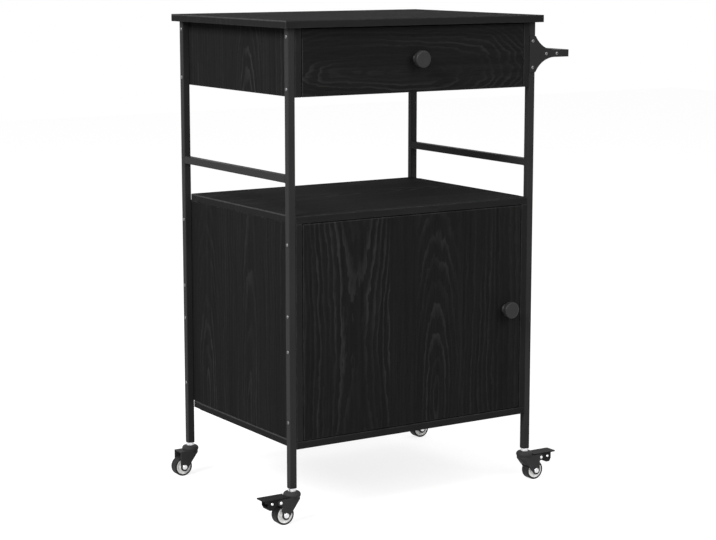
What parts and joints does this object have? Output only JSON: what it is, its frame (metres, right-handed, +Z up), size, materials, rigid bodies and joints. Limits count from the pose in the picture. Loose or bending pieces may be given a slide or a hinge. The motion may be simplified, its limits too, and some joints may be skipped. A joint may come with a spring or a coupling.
{
  "type": "kitchen cart",
  "caption": "Black kitchen cart on swivel casters: wood worktop over a drawer, open shelf bay, cabinet with a hinged door, square tube frame and a push handle on one end.",
  "frame": {"origin": "on the floor under the middle of the cart's whole outline, handle and knobs included", "axes": "+Z up, +X to the right towards the push handle, -Y to the front with the drawer and the door"},
  "size_m": [0.603, 0.391, 0.8],
  "materials": {
    "black_oak": "satin",
    "black_steel": "satin",
    "knob_black": "satin",
    "bright_steel": "polished",
    "black_plastic": "matte",
    "caster_black": "gloss",
    "wheel_white": "gloss",
    "tyre_black": "matte",
    "beech": "matte"
  },
  "bodies": {
    "frame": {"worktop": "black_oak", "front_left_leg": "black_steel", "front_right_leg": "black_steel", "back_left_leg": "black_steel", "back_right_leg": "black_steel", "left_side_rail": "black_steel", "right_side_rail": "black_steel", "left_case_panel": "black_oak", "right_case_panel": "black_oak", "case_back_panel": "black_oak", "cabinet_shelf": "black_oak", "cabinet_base": "black_oak", "left_cabinet_panel": "black_oak", "right_cabinet_panel": "black_oak", "cabinet_back_panel": "black_oak", "left_drawer_runner": "black_oak", "right_drawer_runner": "black_oak", "panel_dowels": "beech", "frame_screws": "bright_steel", "handle_bar": "black_steel", "front_handle_plate": "black_steel", "back_handle_plate": "black_steel", "handle_screws": "bright_steel", "leg_sockets": "black_plastic", "caster_stems": "bright_steel", "door_catch": "black_plastic"},
    "drawer": {"drawer_front": "black_oak", "drawer_left_side": "black_oak", "drawer_right_side": "black_oak", "drawer_back": "black_oak", "drawer_base": "black_oak", "drawer_knob": "knob_black", "drawer_knob_screw": "bright_steel"},
    "door": {"door_panel": "black_oak", "door_knob": "knob_black", "door_knob_screw": "bright_steel", "door_pivot_pins": "bright_steel", "door_strike": "bright_steel"},
    "front_left_caster": {"front_left_fork": "caster_black", "front_left_axle": "bright_steel", "front_left_brake_pin": "bright_steel"},
    "front_left_wheel": {"front_left_wheel_core": "wheel_white", "front_left_tyre": "tyre_black"},
    "front_left_pedal": {"front_left_brake_pedal": "caster_black"},
    "front_right_caster": {"front_right_fork": "caster_black", "front_right_axle": "bright_steel", "front_right_brake_pin": "bright_steel"},
    "front_right_wheel": {"front_right_wheel_core": "wheel_white", "front_right_tyre": "tyre_black"},
    "front_right_pedal": {"front_right_brake_pedal": "caster_black"},
    "back_left_caster": {"back_left_fork": "caster_black", "back_left_axle": "bright_steel"},
    "back_left_wheel": {"back_left_wheel_core": "wheel_white", "back_left_tyre": "tyre_black"},
    "back_right_caster": {"back_right_fork": "caster_black", "back_right_axle": "bright_steel"},
    "back_right_wheel": {"back_right_wheel_core": "wheel_white", "back_right_tyre": "tyre_black"}
  },
  "joints": [
    {"name": "drawer_slide", "type": "slide", "parent": "frame", "child": "drawer", "axis": [0, -1, 0], "range_m": [0, 0.26]},
    {"name": "door_hinge", "type": "hinge", "parent": "frame", "child": "door", "pos_m": [-0.2103, -0.17, 0.3075], "axis": [0, 0, -1], "range_deg": [0, 105]},
    {"name": "front_left_swivel", "type": "hinge", "parent": "frame", "child": "front_left_caster", "pos_m": [-0.2425, -0.1685, 0.047], "axis": [0, 0, 1], "continuous": true},
    {"name": "front_left_wheel_spin", "type": "hinge", "parent": "front_left_caster", "child": "front_left_wheel", "pos_m": [-0.26, -0.1685, 0.0165], "axis": [0, 1, 0], "continuous": true},
    {"name": "front_left_brake", "type": "hinge", "parent": "front_left_caster", "child": "front_left_pedal", "pos_m": [-0.27, -0.1685, 0.0388], "axis": [0, -1, 0], "range_deg": [0, 15]},
    {"name": "front_right_swivel", "type": "hinge", "parent": "frame", "child": "front_right_caster", "pos_m": [0.2255, -0.1685, 0.047], "axis": [0, 0, 1], "continuous": true},
    {"name": "front_right_wheel_spin", "type": "hinge", "parent": "front_right_caster", "child": "front_right_wheel", "pos_m": [0.243, -0.1685, 0.0165], "axis": [0, 1, 0], "continuous": true},
    {"name": "front_right_brake", "type": "hinge", "parent": "front_right_caster", "child": "front_right_pedal", "pos_m": [0.253, -0.1685, 0.0388], "axis": [0, 1, 0], "range_deg": [0, 15]},
    {"name": "back_left_swivel", "type": "hinge", "parent": "frame", "child": "back_left_caster", "pos_m": [-0.2425, 0.1795, 0.047], "axis": [0, 0, 1], "continuous": true},
    {"name": "back_left_wheel_spin", "type": "hinge", "parent": "back_left_caster", "child": "back_left_wheel", "pos_m": [-0.26, 0.1795, 0.0165], "axis": [0, 1, 0], "continuous": true},
    {"name": "back_right_swivel", "type": "hinge", "parent": "frame", "child": "back_right_caster", "pos_m": [0.2255, 0.1795, 0.047], "axis": [0, 0, 1], "continuous": true},
    {"name": "back_right_wheel_spin", "type": "hinge", "parent": "back_right_caster", "child": "back_right_wheel", "pos_m": [0.243, 0.1795, 0.0165], "axis": [0, 1, 0], "continuous": true}
  ]
}
